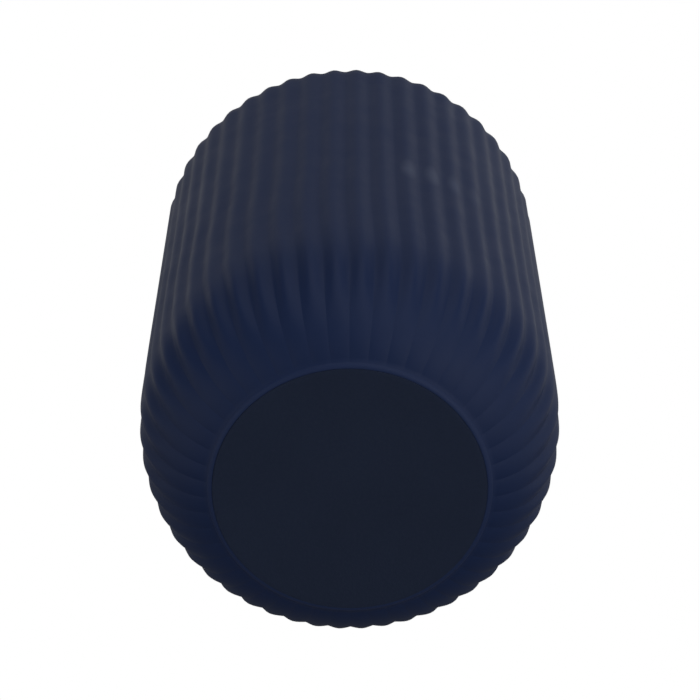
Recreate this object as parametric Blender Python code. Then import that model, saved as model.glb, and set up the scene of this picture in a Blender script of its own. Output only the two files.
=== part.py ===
"""A ribbed bud vase: one mould-blown glass body, and the thin pad that is set in its foot.

Metres, +Z up. The origin is the centre of the pad's underside, on the surface the vase stands on.
The glass is one continuous wall. It is built as closed rings of points: from the middle of the
pad's recess, over the heel and the ribbed outside, over the lip, and down to the cavity's floor.
"""

import math

import bmesh
import bpy

# Body
BODY_RADIUS = 0.042  # axis to the rib crests on the straight wall
TOTAL_HEIGHT = 0.146
GLASS_WALL = 0.0026  # glass left behind the bottom of a groove
FLOOR_TOP = 0.0075  # the cavity's floor, above the surface the vase stands on

# Ribs: rounded reeds that meet in narrower grooves
RIB_COUNT = 50
GROOVE_AT_BEND = 0.00103
GROOVE_ON_WALL = 0.00077
GROOVE_AT_SHOULDER = 0.00053
GROOVE_START = 1.15  # how slowly the grooves deepen as they leave the heel
DEEPEST_HEIGHT = 0.0155
STEADY_HEIGHT = 0.0285  # from here up the grooves get evenly shallower
GROOVE_ROUNDNESS = 0.95  # 0 is a sharp groove between round reeds, 1 an even wave
SIDES_PER_RIB = 4

# Foot: a recess for the pad, a rolled heel round it, and a sloping ribbed underside
RECESS_RADIUS = 0.0265
RECESS_DEPTH = 0.0016
HEEL_HEIGHT = 0.00015  # the heel's lowest point, so that the vase stands on its pad
HEEL_CHAMFER = 0.00015
HEEL_ROLL = 0.0009
HEEL_TURN = 65.0  # degrees that the heel rolls up before the ribbed underside leaves it
UNDERSIDE_SLOPE = 17.4  # degrees
UNDERSIDE_PULL = 0.0105
BEND_TOP = 0.040  # where the wall becomes upright
BEND_PULL = 0.0213

# Shoulder, neck and lip
SHOULDER_START = 0.1134
SHOULDER_ROLL = 0.0143
SHOULDER_TURN = 72.0  # degrees, from the upright wall to the slope below the neck
NECK_RADIUS = 0.0125
NECK_FILLET = 0.005
NECK_BORE = 0.0095
LIP_RADIUS = 0.015
LIP_ROLL = 0.0017
LIP_FLARE = 0.0035  # how far below the lip the neck starts to widen
MOUTH_ROLL = 0.0018

# Cavity
FLOOR_RADIUS = 0.024
CORNER_TOP = 0.028
CAVITY_ROLL = 0.0113
BORE_FILLET = 0.0075

# Pad
PAD_GAP = 0.0003
PAD_EDGE = 0.00025
PAD_SIDES = 96


def clear_scene():
    for obj in list(bpy.data.objects):
        bpy.data.objects.remove(obj, do_unlink=True)


def principled(name, colour, roughness, metallic=0.0):
    material = bpy.data.materials.new(name)
    material.use_nodes = True
    shader = material.node_tree.nodes["Principled BSDF"]
    shader.inputs["Base Color"].default_value = (*colour, 1.0)
    shader.inputs["Roughness"].default_value = roughness
    shader.inputs["Metallic"].default_value = metallic
    material.diffuse_color = (*colour, 1.0)
    return material


def arc(centre, radius, start, end, steps):
    """Points on a circle in the (r, z) plane, from the angle start to the angle end in degrees."""
    points = []
    for i in range(steps + 1):
        angle = math.radians(start + (end - start) * i / steps)
        points.append((centre[0] + radius * math.cos(angle), centre[1] + radius * math.sin(angle)))
    return points


def ellipse_corner(inner, outer, steps):
    """A quarter ellipse that leaves inner level and reaches outer upright."""
    points = []
    for i in range(steps + 1):
        angle = math.pi / 2 * i / steps
        r = inner[0] + (outer[0] - inner[0]) * math.sin(angle)
        z = outer[1] - (outer[1] - inner[1]) * math.cos(angle)
        points.append((r, z))
    return points


def bezier(corners, steps):
    """Points on the Bezier curve of any degree that the corners pull on."""
    degree = len(corners) - 1
    points = []
    for i in range(steps + 1):
        t = i / steps
        weights = [math.comb(degree, k) * (1 - t) ** (degree - k) * t**k for k in range(degree + 1)]
        points.append(tuple(sum(w * c[axis] for w, c in zip(weights, corners)) for axis in (0, 1)))
    return points


def fillet_into_neck(neck_radius, fillet_radius, slope_start):
    """The hollow curve from the slope below the neck to the upright neck, and where it ends."""
    rise = math.radians(90.0 - SHOULDER_TURN)
    centre_r = neck_radius + fillet_radius
    slope_end_r = centre_r - fillet_radius * math.sin(rise)
    slope_end_z = slope_start[1] + (slope_start[0] - slope_end_r) * math.tan(rise)
    centre_z = slope_end_z + fillet_radius * math.cos(rise)
    return arc((centre_r, centre_z), fillet_radius, 270.0 - math.degrees(rise), 180.0, 4)


def heel():
    """The roll round the foot, from its lowest point to where the ribs start."""
    centre = (RECESS_RADIUS + HEEL_CHAMFER, HEEL_HEIGHT + HEEL_ROLL)
    return arc(centre, HEEL_ROLL, -90.0, HEEL_TURN - 90.0, 3)


def underside_and_bend():
    start = heel()[-1]
    slope = math.radians(UNDERSIDE_SLOPE)
    leave = (
        start[0] + UNDERSIDE_PULL * math.cos(slope),
        start[1] + UNDERSIDE_PULL * math.sin(slope),
    )
    arrive = (BODY_RADIUS, BEND_TOP - BEND_PULL)
    return bezier([start, leave, arrive, arrive, (BODY_RADIUS, BEND_TOP)], 10)


def shoulder():
    centre = (BODY_RADIUS - SHOULDER_ROLL, SHOULDER_START)
    return arc(centre, SHOULDER_ROLL, 0.0, SHOULDER_TURN, 5)


def smooth(share):
    """Eases from 0 to 1 as share does."""
    share = min(1.0, max(0.0, share))
    return share * share * (3.0 - 2.0 * share)


def groove_depth(point):
    """How deep the grooves are at a place on the outside. They run out at the heel and the neck."""
    r, z = point
    if z < STEADY_HEIGHT:
        foot_radius = heel()[-1][0]
        share = max(0.0, (r - foot_radius) / (BODY_RADIUS - foot_radius))
        low = GROOVE_AT_BEND * smooth(share**GROOVE_START)
        steadied = smooth((z - DEEPEST_HEIGHT) / (STEADY_HEIGHT - DEEPEST_HEIGHT))
        return low + (GROOVE_ON_WALL - low) * steadied
    if z <= SHOULDER_START:
        share = (z - STEADY_HEIGHT) / (SHOULDER_START - STEADY_HEIGHT)
        return GROOVE_ON_WALL + (GROOVE_AT_SHOULDER - GROOVE_ON_WALL) * share
    share = (BODY_RADIUS - r) / (BODY_RADIUS - NECK_RADIUS - NECK_FILLET)
    return GROOVE_AT_SHOULDER * max(0.0, 1.0 - share)


def groove_wave(angle):
    """0 on a rib's crest and 1 at the bottom of a groove."""
    crest = abs(math.cos(RIB_COUNT * angle / 2))
    return 1.0 - (1.0 - GROOVE_ROUNDNESS) * crest - GROOVE_ROUNDNESS * crest**2


def plain_ring(bm, point):
    ring = []
    for i in range(RIB_COUNT):
        angle = 2 * math.pi * i / RIB_COUNT
        ring.append(bm.verts.new((point[0] * math.cos(angle), point[0] * math.sin(angle), point[1])))
    return ring


def ribbed_ring(bm, before, point, after):
    """A ring whose grooves sink square to the outline that runs from before to after."""
    along = math.atan2(after[1] - before[1], after[0] - before[0])
    outward = (math.sin(along), -math.cos(along))
    depth = groove_depth(point)
    ring = []
    for i in range(RIB_COUNT * SIDES_PER_RIB):
        angle = 2 * math.pi * i / (RIB_COUNT * SIDES_PER_RIB)
        sunk = depth * groove_wave(angle)
        r = point[0] - sunk * outward[0]
        ring.append(bm.verts.new((r * math.cos(angle), r * math.sin(angle), point[1] - sunk * outward[1])))
    return ring


def join_rings(bm, lower, upper):
    """Faces between two rings, where one may have a whole number of times more points."""
    count = max(len(lower), len(upper))
    low_step = count // len(lower)
    up_step = count // len(upper)
    for i in range(count):
        low = lower[i // low_step]
        low_next = lower[(i + 1) // low_step % len(lower)]
        up = upper[i // up_step]
        up_next = upper[(i + 1) // up_step % len(upper)]
        corners = []
        for vert in (low, low_next, up_next, up):
            if vert not in corners:
                corners.append(vert)
        bm.faces.new(corners)


def close_ring(bm, ring, height):
    middle = bm.verts.new((0.0, 0.0, height))
    for i, vert in enumerate(ring):
        bm.faces.new((middle, ring[(i + 1) % len(ring)], vert))


def object_from(bm, name, material):
    bmesh.ops.recalc_face_normals(bm, faces=bm.faces)
    mesh = bpy.data.meshes.new(name)
    bm.to_mesh(mesh)
    bm.free()
    mesh.materials.append(material)
    mesh.shade_smooth()
    mesh.set_sharp_from_angle(angle=math.radians(50.0))
    obj = bpy.data.objects.new(name, mesh)
    bpy.context.scene.collection.objects.link(obj)
    return obj


def glass_body(material):
    """The whole glass wall, as one turned and ribbed skin."""
    bm = bmesh.new()
    recess_and_heel = [
        (RECESS_RADIUS / 2, RECESS_DEPTH),
        (RECESS_RADIUS, RECESS_DEPTH),
        (RECESS_RADIUS, HEEL_HEIGHT + HEEL_CHAMFER),
    ]
    recess_and_heel += heel()[:-1]

    outside = underside_and_bend() + shoulder()
    neck_curve = fillet_into_neck(NECK_RADIUS, NECK_FILLET, shoulder()[-1])
    outside.append(neck_curve[0])

    lip_centre = (LIP_RADIUS - LIP_ROLL, TOTAL_HEIGHT - LIP_ROLL)
    mouth_centre = (NECK_BORE + MOUTH_ROLL, TOTAL_HEIGHT - MOUTH_ROLL)
    neck_and_lip = neck_curve[1:] + [(NECK_RADIUS, lip_centre[1] - LIP_FLARE)]
    neck_and_lip += arc(lip_centre, LIP_ROLL, -45.0, 90.0, 4)
    neck_and_lip += arc(mouth_centre, MOUTH_ROLL, 90.0, 180.0, 3)

    cavity_radius = BODY_RADIUS - GROOVE_ON_WALL - GLASS_WALL
    roof = arc((cavity_radius - CAVITY_ROLL, SHOULDER_START), CAVITY_ROLL, 0.0, SHOULDER_TURN, 4)
    inside = ellipse_corner((FLOOR_RADIUS, FLOOR_TOP), (cavity_radius, CORNER_TOP), 5)
    inside += roof + fillet_into_neck(NECK_BORE, BORE_FILLET, roof[-1])

    rings = [plain_ring(bm, point) for point in recess_and_heel]
    whole = recess_and_heel[-1:] + outside + neck_and_lip[:1]
    for before, point, after in zip(whole, whole[1:], whole[2:]):
        rings.append(ribbed_ring(bm, before, point, after))
    rings += [plain_ring(bm, point) for point in neck_and_lip + inside[::-1]]

    close_ring(bm, rings[0], RECESS_DEPTH)
    for lower, upper in zip(rings, rings[1:]):
        join_rings(bm, lower, upper)
    close_ring(bm, rings[-1], FLOOR_TOP)
    return object_from(bm, "glass_body", material)


def base_pad(material):
    """The disc glued into the recess. Its underside stands a little proud of the glass heel."""
    radius = RECESS_RADIUS - PAD_GAP
    top = RECESS_DEPTH - PAD_GAP
    bm = bmesh.new()
    bmesh.ops.create_cone(
        bm, cap_ends=True, segments=PAD_SIDES, radius1=radius, radius2=radius, depth=top
    )
    bmesh.ops.translate(bm, verts=bm.verts, vec=(0.0, 0.0, top / 2))
    rim = [edge for edge in bm.edges if all(vert.co.z < top / 2 for vert in edge.verts)]
    bmesh.ops.bevel(bm, geom=rim, offset=PAD_EDGE, segments=2, profile=0.5, affect="EDGES")
    return object_from(bm, "base_pad", material)


def main():
    clear_scene()
    lacquered_glass = principled("navy_lacquered_glass", (0.017, 0.034, 0.106), 0.4)
    dark_pad = principled("navy_pad", (0.026, 0.042, 0.092), 0.85)
    glass_body(lacquered_glass)
    base_pad(dark_pad)


main()
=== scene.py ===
"""The ribbed bud vase as it looks: a navy lacquered glass body with fifty soft ribs, and the dark
foam pad in its foot, in a plain pale studio.

Lengths are in metres and angles in degrees where a comment doesn't say otherwise, with +Z up, in
the frame's own place. An outline is a list of (radius, height) points that is turned round Z.
"""

import math

import bmesh
import bpy
from mathutils import Matrix, Vector


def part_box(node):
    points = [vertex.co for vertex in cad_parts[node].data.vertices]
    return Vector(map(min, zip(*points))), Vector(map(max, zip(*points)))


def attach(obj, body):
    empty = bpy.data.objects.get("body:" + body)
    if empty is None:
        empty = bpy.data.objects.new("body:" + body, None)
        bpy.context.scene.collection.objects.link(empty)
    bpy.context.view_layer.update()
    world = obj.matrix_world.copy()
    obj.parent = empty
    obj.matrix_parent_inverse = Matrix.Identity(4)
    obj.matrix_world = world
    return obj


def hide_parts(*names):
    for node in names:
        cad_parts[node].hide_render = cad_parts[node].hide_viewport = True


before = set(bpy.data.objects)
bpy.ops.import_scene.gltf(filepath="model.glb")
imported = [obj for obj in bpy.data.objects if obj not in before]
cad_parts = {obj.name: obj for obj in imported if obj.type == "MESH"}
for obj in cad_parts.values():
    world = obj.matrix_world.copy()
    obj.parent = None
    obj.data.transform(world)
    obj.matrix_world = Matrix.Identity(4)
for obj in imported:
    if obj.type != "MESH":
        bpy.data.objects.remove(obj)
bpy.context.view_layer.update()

body_low, body_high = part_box("glass_body")
pad_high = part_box("base_pad")[1]

# Body, as the CAD model has it
BODY_RADIUS = body_high.x  # over the ribs' crests
TOTAL_HEIGHT = body_high.z
GLASS_WALL = 0.0026  # behind the bottom of a groove

# Ribs. A groove is a depth below the crests, and it changes from the foot up to the shoulder
RIB_COUNT = 50
GROOVE_AT_FOOT = 0.00014
GROOVE_AT_BEND = 0.00103
GROOVE_ON_WALL = 0.00077
GROOVE_AT_SHOULDER = 0.00053
GROOVE_RUN_OUT = 0.06  # share of the way out from the foot in which the grooves appear
GROOVE_GROWTH = 1.6  # above 1 they deepen late on the way out to the bend
DEEPEST_HEIGHT = 0.0155
STEADY_HEIGHT = 0.0285

# How the ribs and grooves are rounded: 1 is an even wave, 0 has a crease in each groove, and below
# 0 the creases are narrow and lie between broad, flat ribs
ROUNDNESS_AT_FOOT = -0.5
ROUNDNESS_AT_BEND = 0.9
ROUNDNESS_AT_SHOULDER = 1.0

# Unevenness of blown glass: how far the ribs wander round the axis, in radians, and between which
# heights
RIB_LEAN = 0.0175
LEAN_START, LEAN_END = 0.018, 0.058
RIB_SWING = 0.018
SWING_START, SWING_FULL, SWING_FADE, SWING_END = 0.020, 0.032, 0.045, 0.065
FRONT_LEFT = -135.0  # from +X
WIDE_RIPPLE = 0.0016
WIDE_RIPPLES_ROUND = 3
WIDE_RIPPLE_PHASE = 1.3
NARROW_RIPPLE = 0.0012
NARROW_RIPPLES_ROUND = 7
NARROW_RIPPLE_TWIST = 4.0  # change of phase from the foot to the lip

# Foot. A pull is how far a curve is drawn along its direction at one end
PAD_GAP = 0.0003  # above the pad
RECESS_RADIUS = pad_high.x
RECESS_DEPTH = pad_high.z + PAD_GAP
RECESS_ROUNDING = 0.00008
HEEL_HEIGHT = body_low.z
HEEL_ROLL = 0.0011
HEEL_TURN = 65.0
UNDERSIDE_SLOPE = 17.4
UNDERSIDE_PULL = 0.0105
BEND_TOP = 0.040
BEND_PULL = 0.0213

# Where the heel ends and the ribs start
FOOT_RADIUS = RECESS_RADIUS + RECESS_ROUNDING + HEEL_ROLL * math.sin(math.radians(HEEL_TURN))
FOOT_RISE = HEEL_HEIGHT + HEEL_ROLL * (1.0 - math.cos(math.radians(HEEL_TURN)))

# Shoulder, neck and lip
SHOULDER_START = 0.1134
SHOULDER_ROLL = 0.0143
SHOULDER_TURN = 72.0
NECK_RADIUS = 0.0125
NECK_FILLET = 0.005
LIP_RADIUS = 0.015
LIP_ROLL = 0.0017
FLARE_MEETS_LIP = -45.0  # on the lip's roll, from level
FLARE_DROP = 0.0035  # from the middle of the lip's roll down to the straight neck
FLARE_PULL_UP = 0.0014
FLARE_PULL_OUT = 0.0006
MOUTH_ROLL = 0.0018

# Cavity
FLOOR_TOP = 0.0075
FLOOR_RADIUS = 0.024
CORNER_TOP = 0.028
CAVITY_RADIUS = BODY_RADIUS - GROOVE_ON_WALL - GLASS_WALL
CAVITY_ROLL = 0.0113
BORE_RADIUS = 0.0095
BORE_FILLET = 0.0075

# Pad
PAD_CLEARANCE = 0.00001
PAD_EDGE = 0.00004
PAD_TOP_EDGE = 0.0002

# Mesh. The number of points in a ribbed ring is a whole number of times that in a plain one
SIDES_PER_RIB = 12
PLAIN_SIDES = RIB_COUNT * 4
RECESS_RINGS = (0.3, 0.6, 0.9, 0.985, 1.0)  # shares of the recess's radius, and so on
FLOOR_RINGS = (0.25, 0.5, 0.75)
PAD_RINGS = (0.2, 0.4, 0.6, 0.8, 0.95)
PAD_TOP_RINGS = (0.9, 0.5)
GROOVE_LAYER = "groove"  # 0 on a crest, and 1 at the bottom of the deepest groove

# Colours, in linear light. Two in a row are the ends of a faint clouding
NAVY = ((0.0140, 0.0306, 0.1010, 1.0), (0.0145, 0.0317, 0.1045, 1.0))
THIN_ON_CREST = (0.0170, 0.0345, 0.1110, 1.0)
# Painted shade: the grooves are darker the deeper they are
GROOVE_PAINTED_SHADE = (0.0130, 0.0290, 0.0965, 1.0)
# Painted highlight: the lighter band round the heel's roll
HEEL_PAINTED_HIGHLIGHT = (0.0270, 0.0470, 0.1320, 1.0)
# Painted highlight: pale glints on the crests of a few neighbouring ribs
PAINTED_GLINT = (0.0900, 0.1140, 0.2000, 1.0)
NAVY_BEHIND_GLASS = ((0.0105, 0.0235, 0.0780, 1.0), (0.0135, 0.0300, 0.0980, 1.0))
FOAM = ((0.0196, 0.0316, 0.0700, 1.0), (0.0216, 0.0345, 0.0755, 1.0))
DUSTY_FOAM = (0.027, 0.041, 0.083, 1.0)
PAPER = ((0.80, 0.80, 0.79, 1.0), (0.83, 0.83, 0.82, 1.0))
WHITE = (1.0, 1.0, 1.0, 1.0)

# Painted highlights on the lacquer: a lighter band round the heel, and one glint on each of a few
# neighbouring ribs' crests
HEEL_HIGHLIGHT_TOP = 0.0009
GLINT_STRENGTHS = (0.80, 0.75, 0.45, 0.25)
GLINT_AZIMUTH = 17.2
GLINT_HEIGHT = 0.0632
GLINT_CLIMB = 0.0006  # from one glint to the next
GLINT_RADIUS = 0.0021
GLINT_CORE = 0.3 * GLINT_RADIUS  # at full strength
GLINT_SQUEEZE = 0.38  # below 1, so a glint is taller than it is wide

# Stage
FLOOR_REACH = 1.15
FLOOR_FADE_START = 0.2 * FLOOR_REACH
FLOOR_FADE_END = 0.95 * FLOOR_REACH
FLOOR_GLOW = 0.72
BACKDROP_RADIUS = 6.0
AMBIENT = 0.108
SOFTBOX_DISTANCE = 1.2

# Softboxes, all turned to the middle of the vase: name, azimuth, elevation, side and power in watts
SOFTBOXES = (
    ("top_softbox", 0.0, 88.0, 1.2, 0.40),
    ("high_front_softbox", 0.0, 50.0, 1.2, 0.53),
    ("front_softbox", 0.0, 5.0, 1.2, 2.15),
    ("front_right_softbox", 40.0, -25.0, 1.4, 2.75),
    ("low_front_softbox", 0.0, -55.0, 1.2, 0.35),
    ("right_softbox", 90.0, 10.0, 1.2, 1.16),
    ("low_right_softbox", 80.0, -40.0, 1.2, 1.90),
    ("high_right_softbox", 70.0, 50.0, 1.0, 0.37),
    ("left_softbox", -90.0, 0.0, 1.2, 1.00),
    ("low_left_softbox", -80.0, -40.0, 1.2, 1.54),
    ("high_left_softbox", -95.0, 62.0, 0.8, 0.14),
    ("high_back_right_softbox", 125.0, 62.0, 0.8, 0.45),
    ("high_back_left_softbox", -125.0, 62.0, 0.8, 0.30),
)

# Camera
CAMERA_ELEVATION = 63.16  # how steeply it looks up at the foot
CAMERA_DISTANCE = 0.524
CAMERA_AIM = 0.0597  # height of the point that it looks at
CAMERA_SIDE = 0.00013
CAMERA_ROLL = -0.2
CAMERA_LENS = 127.3  # mm


# Numbers and directions ------------------------------------------------------------------------


def mix(first, second, share):
    return first + (second - first) * share


def smooth(share):
    share = min(1.0, max(0.0, share))
    return share * share * (3.0 - 2.0 * share)


def eased(value, start, end):
    """0 up to start, 1 from end on, and a smooth step between them."""
    return smooth((value - start) / (end - start))


def direction(azimuth, elevation):
    """A vector of length 1. Azimuth 0 is the camera's side, -Y, and 90 is +X."""
    a, e = math.radians(azimuth), math.radians(elevation)
    return Vector((math.sin(a) * math.cos(e), -math.cos(a) * math.cos(e), math.sin(e)))


# Outline ---------------------------------------------------------------------------------------


def arc(centre, radius, start, end, steps):
    points = []
    for i in range(steps + 1):
        angle = math.radians(mix(start, end, i / steps))
        points.append((centre[0] + radius * math.cos(angle), centre[1] + radius * math.sin(angle)))
    return points


def ellipse_corner(inner, outer, steps):
    """A quarter of an ellipse, level at its inner end and upright at its outer end."""
    points = []
    for i in range(steps + 1):
        angle = math.pi / 2 * i / steps
        r = mix(inner[0], outer[0], math.sin(angle))
        z = mix(outer[1], inner[1], math.cos(angle))
        points.append((r, z))
    return points


def bezier(corners, steps):
    degree = len(corners) - 1
    points = []
    for i in range(steps + 1):
        t = i / steps
        weights = [math.comb(degree, k) * (1 - t) ** (degree - k) * t**k for k in range(degree + 1)]
        points.append(tuple(sum(w * c[axis] for w, c in zip(weights, corners)) for axis in (0, 1)))
    return points


def straight(start, end, steps):
    """Points along a line, without its two ends."""
    shares = [i / steps for i in range(1, steps)]
    return [(mix(start[0], end[0], share), mix(start[1], end[1], share)) for share in shares]


def shoulder_roll(outer_radius, roll, steps):
    """From the upright wall over to the slope that leads to the neck."""
    return arc((outer_radius - roll, SHOULDER_START), roll, 0.0, SHOULDER_TURN, steps)


def fillet_into_neck(neck_radius, fillet_radius, slope_start, steps):
    """The hollow curve from a shoulder's slope, which starts at slope_start, to an upright neck."""
    rise = math.radians(90.0 - SHOULDER_TURN)
    centre_r = neck_radius + fillet_radius
    slope_end_r = centre_r - fillet_radius * math.sin(rise)
    slope_end_z = slope_start[1] + (slope_start[0] - slope_end_r) * math.tan(rise)
    centre_z = slope_end_z + fillet_radius * math.cos(rise)
    return arc((centre_r, centre_z), fillet_radius, 270.0 - math.degrees(rise), 180.0, steps)


def recess_and_heel():
    """The recess in the foot, its rounded edge, and the roll round it up to where the ribs start."""
    recess = [(RECESS_RADIUS * share, RECESS_DEPTH) for share in RECESS_RINGS]
    lowest = RECESS_RADIUS + RECESS_ROUNDING
    edge_centre = (lowest, HEEL_HEIGHT + RECESS_ROUNDING)
    edge = arc(edge_centre, RECESS_ROUNDING, -180.0, -90.0, steps=4)
    heel_centre = (lowest, HEEL_HEIGHT + HEEL_ROLL)
    heel = arc(heel_centre, HEEL_ROLL, -90.0, HEEL_TURN - 90.0, steps=12)
    return recess + edge + heel[1:-1]


def underside_and_bend():
    slope = math.radians(UNDERSIDE_SLOPE)
    foot = (FOOT_RADIUS, FOOT_RISE)
    leave = (foot[0] + UNDERSIDE_PULL * math.cos(slope), foot[1] + UNDERSIDE_PULL * math.sin(slope))
    arrive = (BODY_RADIUS, BEND_TOP - BEND_PULL)
    return bezier([foot, leave, arrive, arrive, (BODY_RADIUS, BEND_TOP)], steps=44)


def ribbed_outside(shoulder, neck_curve):
    """From the heel up the underside and the wall, and over the shoulder to the neck's curve."""
    bend = underside_and_bend()
    wall = straight(bend[-1], shoulder[0], steps=18)
    slope = straight(shoulder[-1], neck_curve[0], steps=8)
    return bend + wall + shoulder + slope + neck_curve[:1]


def neck_lip_and_mouth(neck_curve):
    """Up the neck, out round the lip's roll, and over into the bore."""
    lip_centre = (LIP_RADIUS - LIP_ROLL, TOTAL_HEIGHT - LIP_ROLL)
    lip = arc(lip_centre, LIP_ROLL, FLARE_MEETS_LIP, 90.0, steps=12)
    neck_top = (NECK_RADIUS, lip_centre[1] - FLARE_DROP)
    leave = (NECK_RADIUS, neck_top[1] + FLARE_PULL_UP)
    arrive = (lip[0][0] - FLARE_PULL_OUT, lip[0][1] - FLARE_PULL_OUT)
    flare = bezier([neck_top, leave, arrive, lip[0]], steps=8)
    neck = straight(neck_curve[-1], neck_top, steps=4)
    mouth_centre = (BORE_RADIUS + MOUTH_ROLL, TOTAL_HEIGHT - MOUTH_ROLL)
    mouth = arc(mouth_centre, MOUTH_ROLL, 90.0, 180.0, steps=8)
    return neck_curve[1:] + neck + flare[:-1] + lip + mouth


def inside_outline(mouth_end):
    """From the middle of the cavity's floor up its wall and the bore, to just below mouth_end."""
    floor = [(FLOOR_RADIUS * share, FLOOR_TOP) for share in FLOOR_RINGS]
    corner = ellipse_corner((FLOOR_RADIUS, FLOOR_TOP), (CAVITY_RADIUS, CORNER_TOP), steps=16)
    roof = shoulder_roll(CAVITY_RADIUS, CAVITY_ROLL, steps=14)
    bore_curve = fillet_into_neck(BORE_RADIUS, BORE_FILLET, roof[-1], steps=12)
    outline = floor + corner + straight(corner[-1], roof[0], steps=12) + roof
    outline += straight(roof[-1], bore_curve[0], steps=5) + bore_curve
    return outline + straight(bore_curve[-1], mouth_end, steps=4)


# Ribs ------------------------------------------------------------------------------------------


def up_the_wall(z):
    """0 up to the steady height and 1 from the shoulder on."""
    return min(1.0, max(0.0, (z - STEADY_HEIGHT) / (SHOULDER_START - STEADY_HEIGHT)))


def groove_depth(point):
    r, z = point
    if z < STEADY_HEIGHT:
        way_out = max(0.0, (r - FOOT_RADIUS) / (BODY_RADIUS - FOOT_RADIUS))
        start = GROOVE_AT_FOOT * smooth(way_out / GROOVE_RUN_OUT)
        low = max(start, GROOVE_AT_BEND * smooth(way_out**GROOVE_GROWTH))
        return mix(low, GROOVE_ON_WALL, eased(z, DEEPEST_HEIGHT, STEADY_HEIGHT))
    if z <= SHOULDER_START:
        return mix(GROOVE_ON_WALL, GROOVE_AT_SHOULDER, up_the_wall(z))
    way_in = (BODY_RADIUS - r) / (BODY_RADIUS - NECK_RADIUS - NECK_FILLET)
    return GROOVE_AT_SHOULDER * max(0.0, 1.0 - way_in)


def groove_roundness(z):
    if z > DEEPEST_HEIGHT:
        return mix(ROUNDNESS_AT_BEND, ROUNDNESS_AT_SHOULDER, up_the_wall(z))
    return mix(ROUNDNESS_AT_FOOT, ROUNDNESS_AT_BEND, eased(z, FOOT_RISE, DEEPEST_HEIGHT))


def groove_wave(place, roundness):
    """0 on a rib's crest, where place is 0, and 1 at the bottom of a groove, at -0.5 and 0.5."""
    crest = abs(math.cos(math.pi * place))
    return 1.0 - (1.0 - roundness) * crest - roundness * crest**2


def rib_places():
    """Places across one rib, closer together near the groove, where the glass turns fastest."""
    shares = [2.0 * i / SIDES_PER_RIB - 1.0 for i in range(SIDES_PER_RIB)]
    return [0.5 * math.sin(math.pi / 2 * share) for share in shares]


def rib_sway(angle, z):
    """How far the ribs stand to the side at this place, in radians.

    They lean as they leave the bend, and swing furthest low down on the front left.
    """
    lean = -RIB_LEAN * eased(z, LEAN_START, LEAN_END)
    low_down = eased(z, SWING_START, SWING_FULL) * (1.0 - eased(z, SWING_FADE, SWING_END))
    front_left = max(0.0, math.cos(angle - math.radians(FRONT_LEFT))) ** 3
    ripple = WIDE_RIPPLE * math.sin(WIDE_RIPPLES_ROUND * angle + WIDE_RIPPLE_PHASE)
    twist = NARROW_RIPPLE_TWIST * z / TOTAL_HEIGHT
    ripple += NARROW_RIPPLE * math.sin(NARROW_RIPPLES_ROUND * angle + twist)
    return lean - RIB_SWING * front_left * low_down + ripple


# Meshes ----------------------------------------------------------------------------------------


def plain_ring(bm, point):
    """A round ring of points. The first is at the same angle as a ribbed ring's first."""
    ring = []
    for i in range(PLAIN_SIDES):
        angle = 2 * math.pi * (i - PLAIN_SIDES / RIB_COUNT / 2) / PLAIN_SIDES
        place = (point[0] * math.cos(angle), point[0] * math.sin(angle), point[1])
        ring.append(bm.verts.new(place))
    return ring


def ribbed_ring(bm, groove_layer, before, point, after):
    """A ring whose grooves sink square to the outline, which runs from before to after here."""
    along = math.atan2(after[1] - before[1], after[0] - before[0])
    outward = (math.sin(along), -math.cos(along))
    depth = groove_depth(point)
    roundness = groove_roundness(point[1])
    ring = []
    for rib in range(RIB_COUNT):
        for place in rib_places():
            angle = 2 * math.pi * (rib + place) / RIB_COUNT
            angle += rib_sway(angle, point[1])
            sunk = depth * groove_wave(place, roundness)
            r = point[0] - sunk * outward[0]
            z = point[1] - sunk * outward[1]
            vert = bm.verts.new((r * math.cos(angle), r * math.sin(angle), z))
            vert[groove_layer] = sunk / GROOVE_AT_BEND
            ring.append(vert)
    return ring


def join_rings(bm, lower, upper):
    """Faces between two rings, where one may have a whole number of times more points."""
    count = max(len(lower), len(upper))
    low_step = count // len(lower)
    up_step = count // len(upper)
    faces = []
    for i in range(count):
        low = lower[i // low_step]
        low_next = lower[(i + 1) // low_step % len(lower)]
        up = upper[i // up_step]
        up_next = upper[(i + 1) // up_step % len(upper)]
        corners = []
        for vert in (low, low_next, up_next, up):
            if vert not in corners:
                corners.append(vert)
        faces.append(bm.faces.new(corners))
    return faces


def close_ring(bm, ring, height):
    """A fan of faces from the ring to a point on the axis."""
    middle = bm.verts.new((0.0, 0.0, height))
    following = ring[1:] + ring[:1]
    return [bm.faces.new((middle, after, vert)) for vert, after in zip(ring, following)]


def piece_from(bm, name, materials):
    bmesh.ops.recalc_face_normals(bm, faces=bm.faces)
    mesh = bpy.data.meshes.new(name)
    bm.to_mesh(mesh)
    bm.free()
    for material in materials:
        mesh.materials.append(material)
    mesh.shade_smooth()
    piece = bpy.data.objects.new(name, mesh)
    bpy.context.scene.collection.objects.link(piece)
    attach(piece, "root")
    return piece


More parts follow.
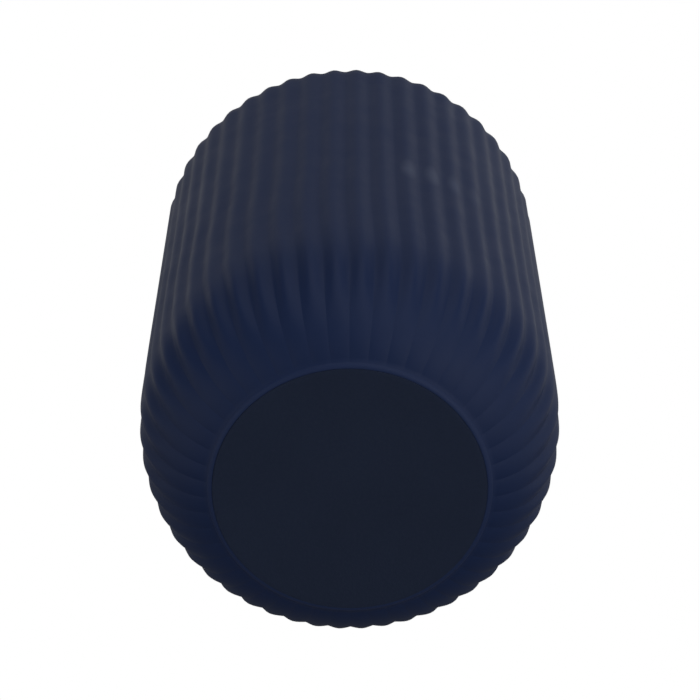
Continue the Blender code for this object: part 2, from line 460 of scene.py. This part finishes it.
def make_glass_body(lacquer, bare_glass):
    """The whole glass wall: the recess, the heel, the ribbed outside, the lip and the inside."""
    bm = bmesh.new()
    groove_layer = bm.verts.layers.float.new(GROOVE_LAYER)

    shoulder = shoulder_roll(BODY_RADIUS, SHOULDER_ROLL, steps=20)
    neck_curve = fillet_into_neck(NECK_RADIUS, NECK_FILLET, shoulder[-1], steps=12)
    foot = recess_and_heel()
    ribbed = ribbed_outside(shoulder, neck_curve)
    neck = neck_lip_and_mouth(neck_curve)
    inside = inside_outline(neck[-1])[::-1]

    rings = [plain_ring(bm, point) for point in foot]
    befores = foot[-1:] + ribbed
    afters = ribbed[1:] + neck[:1]
    for before, point, after in zip(befores, ribbed, afters):
        rings.append(ribbed_ring(bm, groove_layer, before, point, after))
    rings += [plain_ring(bm, point) for point in neck + inside]

    bare_faces = []
    close_ring(bm, rings[0], RECESS_DEPTH)
    for i, (lower, upper) in enumerate(zip(rings, rings[1:])):
        faces = join_rings(bm, lower, upper)
        if i + 1 >= len(rings) - len(inside):
            bare_faces += faces
    bare_faces += close_ring(bm, rings[-1], FLOOR_TOP)
    for face in bare_faces:
        face.material_index = 1

    piece = piece_from(bm, "ribbed_glass", [lacquer, bare_glass])
    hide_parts("glass_body")


def make_pad(material):
    """The foam disc: a flat underside, a softly rounded cut edge, and a flat glued top."""
    radius = RECESS_RADIUS - PAD_CLEARANCE
    top = pad_high.z
    outline = [(radius * share, 0.0) for share in PAD_RINGS]
    outline += arc((radius - PAD_EDGE, PAD_EDGE), PAD_EDGE, -90.0, 0.0, steps=4)
    outline += [(radius, top - PAD_TOP_EDGE), (radius - PAD_TOP_EDGE, top)]
    outline += [(radius * share, top) for share in PAD_TOP_RINGS]

    bm = bmesh.new()
    rings = [plain_ring(bm, point) for point in outline]
    close_ring(bm, rings[0], 0.0)
    for lower, upper in zip(rings, rings[1:]):
        join_rings(bm, lower, upper)
    close_ring(bm, rings[-1], top)

    piece = piece_from(bm, "foam_pad", [material])
    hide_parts("base_pad")


# Materials -------------------------------------------------------------------------------------


class Nodes:
    """A material's node tree, with short calls to add and join nodes."""

    def __init__(self, name):
        self.material = bpy.data.materials.new(name)
        self.material.use_nodes = True
        self.tree = self.material.node_tree
        self.shader = self.tree.nodes["Principled BSDF"]
        self.surface = self.tree.nodes["Material Output"].inputs["Surface"]

    def put(self, value, socket):
        """Join a node's output to the socket, or set a plain value on it."""
        if hasattr(value, "is_output"):
            self.tree.links.new(value, socket)
        else:
            socket.default_value = value

    def add(self, kind, values=None, **settings):
        node = self.tree.nodes.new(kind)
        for name, setting in settings.items():
            setattr(node, name, setting)
        for name, value in (values or {}).items():
            self.put(value, node.inputs[name])
        return node

    def principled(self, **values):
        for name, value in values.items():
            self.put(value, self.shader.inputs[name.replace("_", " ")])
        return self.material

    def place(self):
        return self.add("ShaderNodeTexCoord").outputs["Object"]

    def noise(self, place, scale, detail=3.0, roughness=0.5):
        values = {"Vector": place, "Scale": scale, "Detail": detail, "Roughness": roughness}
        return self.add("ShaderNodeTexNoise", values).outputs["Fac"]

    def ramp(self, value, start, end, at_start=0.0, at_end=1.0):
        """A straight line from start to end, either of which may be the larger, and level past them."""
        values = {"Value": value, "From Min": start, "From Max": end}
        values.update({"To Min": at_start, "To Max": at_end})
        return self.add("ShaderNodeMapRange", values, clamp=True).outputs["Result"]

    def math(self, operation, first, second):
        return self.add("ShaderNodeMath", {0: first, 1: second}, operation=operation).outputs[0]

    def vector_math(self, operation, first, second):
        values = {0: first, 1: second}
        return self.add("ShaderNodeVectorMath", values, operation=operation).outputs["Vector"]

    def length(self, vector):
        return self.add("ShaderNodeVectorMath", {0: vector}, operation="LENGTH").outputs["Value"]

    def blend(self, share, first, second):
        """A colour: inputs 6 and 7 and output 2 are the mix node's own for colours."""
        values = {0: share, 6: first, 7: second}
        return self.add("ShaderNodeMix", values, data_type="RGBA").outputs[2]

    def bump(self, height, strength, distance, below=None):
        values = {"Height": height, "Strength": strength, "Distance": distance}
        if below is not None:
            values["Normal"] = below
        return self.add("ShaderNodeBump", values).outputs["Normal"]


def painted_glints(nodes, place, patchy):
    """Painted highlights: pale glints on the crests of neighbouring ribs, each at its own strength."""
    marks = 0.0
    for i, strength in enumerate(GLINT_STRENGTHS):
        centre = direction(GLINT_AZIMUTH + i * 360.0 / RIB_COUNT, 0.0) * BODY_RADIUS
        centre.z = GLINT_HEIGHT + i * GLINT_CLIMB
        offset = nodes.vector_math("SUBTRACT", place, centre)
        squeezed = nodes.vector_math("MULTIPLY", offset, (1.0, 1.0, GLINT_SQUEEZE))
        away = nodes.length(squeezed)
        mark = nodes.ramp(away, GLINT_RADIUS, GLINT_CORE, at_end=strength)
        marks = nodes.math("MAXIMUM", marks, mark)
    return nodes.math("MULTIPLY", marks, nodes.ramp(patchy, 0.35, 0.6, at_start=0.55))


def lacquer_material():
    """Sprayed navy lacquer with a soft matte sheen, thinner and lighter on the ribs' crests, with
    painted shade in the grooves, a painted highlight round the heel and painted glints on a few crests.
    """
    nodes = Nodes("navy_lacquer")
    place = nodes.place()
    groove = nodes.add("ShaderNodeAttribute", attribute_name=GROOVE_LAYER).outputs["Fac"]
    height = nodes.add("ShaderNodeSeparateXYZ", {0: place}).outputs["Z"]

    cloud = nodes.noise(place, scale=22.0, detail=4.0)
    fine_cloud = nodes.noise(place, scale=160.0)
    crest = nodes.ramp(groove, 0.25, 0.0, at_end=0.5)
    thin = nodes.math("MULTIPLY", crest, nodes.ramp(fine_cloud, 0.4, 0.65))
    colour = nodes.blend(nodes.ramp(cloud, 0.35, 0.65), *NAVY)
    colour = nodes.blend(thin, colour, THIN_ON_CREST)
    # Painted shade in the grooves, darker the deeper the groove
    colour = nodes.blend(nodes.ramp(groove, 0.45, 1.0, at_end=0.6), colour, GROOVE_PAINTED_SHADE)
    # Painted highlight on the heel's roll, lighter towards where it stands
    heel = nodes.ramp(height, HEEL_HIGHLIGHT_TOP, HEEL_HEIGHT, at_end=0.8)
    colour = nodes.blend(heel, colour, HEEL_PAINTED_HIGHLIGHT)
    # Painted highlights: pale glints on a few crests
    colour = nodes.blend(painted_glints(nodes, place, fine_cloud), colour, PAINTED_GLINT)

    waves = nodes.noise(place, scale=70.0, detail=2.0)
    peel = nodes.noise(place, scale=620.0, detail=2.0)
    grain = nodes.noise(place, scale=5200.0, detail=2.0)
    normal = nodes.bump(waves, strength=0.1, distance=0.0003)
    normal = nodes.bump(peel, strength=0.12, distance=0.00006, below=normal)
    normal = nodes.bump(grain, strength=0.25, distance=0.00001, below=normal)

    rough = nodes.ramp(fine_cloud, 0.3, 0.7, at_start=0.40, at_end=0.46)
    rough = nodes.math("ADD", rough, nodes.ramp(grain, 0.3, 0.7, at_end=0.05))
    return nodes.principled(
        Base_Color=colour, Roughness=rough, Normal=normal, IOR=1.3, Specular_IOR_Level=0.5
    )


def bare_glass_material():
    """The inside: clear glass over the back of the lacquer, so a glossy, deeper navy."""
    nodes = Nodes("glossy_inside")
    place = nodes.place()
    cloud = nodes.noise(place, scale=30.0)
    colour = nodes.blend(nodes.ramp(cloud, 0.35, 0.65), *NAVY_BEHIND_GLASS)
    stretch = {"Vector": place, "Scale": (1.0, 1.0, 0.12)}
    stretched = nodes.add("ShaderNodeMapping", stretch).outputs["Vector"]
    streaks = nodes.noise(stretched, scale=90.0, detail=2.0)
    normal = nodes.bump(streaks, strength=0.3, distance=0.0005)
    haze = nodes.noise(place, scale=240.0)
    rough = nodes.ramp(haze, 0.3, 0.8, at_start=0.04, at_end=0.12)
    return nodes.principled(Base_Color=colour, Roughness=rough, Normal=normal, IOR=1.5)


def pad_material():
    """Dense foam rubber, dull, with fine open cells and a little dust."""
    nodes = Nodes("navy_foam")
    place = nodes.place()
    cloud = nodes.noise(place, scale=45.0, detail=4.0)
    felted = nodes.noise(place, scale=1500.0, detail=4.0, roughness=0.65)
    cells = nodes.add("ShaderNodeTexVoronoi", {"Vector": place, "Scale": 2600.0}).outputs["Distance"]
    colour = nodes.blend(nodes.ramp(cloud, 0.35, 0.65), *FOAM)
    colour = nodes.blend(nodes.ramp(felted, 0.55, 0.8, at_end=0.35), colour, DUSTY_FOAM)
    normal = nodes.bump(felted, strength=0.4, distance=0.00008)
    normal = nodes.bump(cells, strength=0.3, distance=0.00004, below=normal)
    rough = nodes.ramp(felted, 0.3, 0.7, at_start=0.78, at_end=0.92)
    return nodes.principled(
        Base_Color=colour, Roughness=rough, Normal=normal, Specular_IOR_Level=0.3
    )


def floor_material():
    """Pale matte paper, seen from above only. It fades out before its rim, into the backdrop."""
    nodes = Nodes("pale_floor")
    place = nodes.place()
    fibres = nodes.noise(place, scale=900.0, detail=4.0)
    tone = nodes.blend(nodes.ramp(fibres, 0.3, 0.7), *PAPER)
    nodes.principled(Base_Color=tone, Roughness=0.9, Specular_IOR_Level=0.2)
    nodes.principled(Emission_Color=tone, Emission_Strength=FLOOR_GLOW)
    fade = nodes.ramp(nodes.length(place), FLOOR_FADE_START, FLOOR_FADE_END)
    from_below = nodes.add("ShaderNodeNewGeometry").outputs["Backfacing"]
    clear = nodes.math("MAXIMUM", fade, from_below)
    paper = nodes.shader.outputs["BSDF"]
    see_through = nodes.add("ShaderNodeBsdfTransparent").outputs["BSDF"]
    shown = nodes.add("ShaderNodeMixShader", {0: clear, 1: paper, 2: see_through})
    nodes.put(shown.outputs["Shader"], nodes.surface)
    return nodes.material


def backdrop_material():
    nodes = Nodes("white_backdrop")
    glow = nodes.add("ShaderNodeEmission", {"Color": WHITE, "Strength": 1.0})
    nodes.put(glow.outputs["Emission"], nodes.surface)
    return nodes.material


# Stage -----------------------------------------------------------------------------------------


def stage_object(name, bm, material):
    """A thing that only the camera sees, so it neither lights the vase nor shows in its gloss."""
    mesh = bpy.data.meshes.new(name)
    bm.to_mesh(mesh)
    bm.free()
    mesh.materials.append(material)
    obj = bpy.data.objects.new(name, mesh)
    bpy.context.scene.collection.objects.link(obj)
    for ray in ("diffuse", "glossy", "transmission", "shadow", "volume_scatter"):
        setattr(obj, "visible_" + ray, False)


def make_stage():
    floor = bmesh.new()
    bmesh.ops.create_circle(floor, cap_ends=True, segments=96, radius=FLOOR_REACH)
    stage_object("floor", floor, floor_material())
    backdrop = bmesh.new()
    bmesh.ops.create_uvsphere(backdrop, u_segments=48, v_segments=24, radius=BACKDROP_RADIUS)
    stage_object("backdrop", backdrop, backdrop_material())


def make_lights():
    middle = Vector((0.0, 0.0, TOTAL_HEIGHT / 2))
    for name, azimuth, elevation, side, power in SOFTBOXES:
        lamp = bpy.data.lights.new(name, "AREA")
        lamp.size = side
        lamp.energy = power
        towards = direction(azimuth, elevation)
        obj = bpy.data.objects.new(name, lamp)
        obj.location = middle + towards * SOFTBOX_DISTANCE
        obj.rotation_euler = (-towards).to_track_quat("-Z", "Y").to_euler()
        obj.visible_camera = False
        bpy.context.scene.collection.objects.link(obj)
    world = bpy.data.worlds.new("studio")
    world.use_nodes = True
    background = world.node_tree.nodes["Background"]
    background.inputs["Color"].default_value = WHITE
    background.inputs["Strength"].default_value = AMBIENT
    bpy.context.scene.world = world


def make_camera():
    data = bpy.data.cameras.new("camera")
    data.lens = CAMERA_LENS
    data.clip_start = 0.01
    data.clip_end = 100.0
    camera = bpy.data.objects.new("camera", data)
    look = -direction(0.0, -CAMERA_ELEVATION)
    side = Vector((1.0, 0.0, 0.0))
    up = side.cross(look)
    turn = Matrix((side, up, -look)).transposed().to_4x4()
    roll = Matrix.Rotation(math.radians(CAMERA_ROLL), 4, "Z")
    aim = Vector((CAMERA_SIDE, 0.0, CAMERA_AIM))
    camera.matrix_world = Matrix.Translation(aim - look * CAMERA_DISTANCE) @ turn @ roll
    bpy.context.scene.collection.objects.link(camera)
    bpy.context.scene.camera = camera


def main():
    make_camera()
    make_glass_body(lacquer_material(), bare_glass_material())
    make_pad(pad_material())
    make_stage()
    make_lights()
    bpy.context.scene.view_settings.view_transform = "Standard"


main()
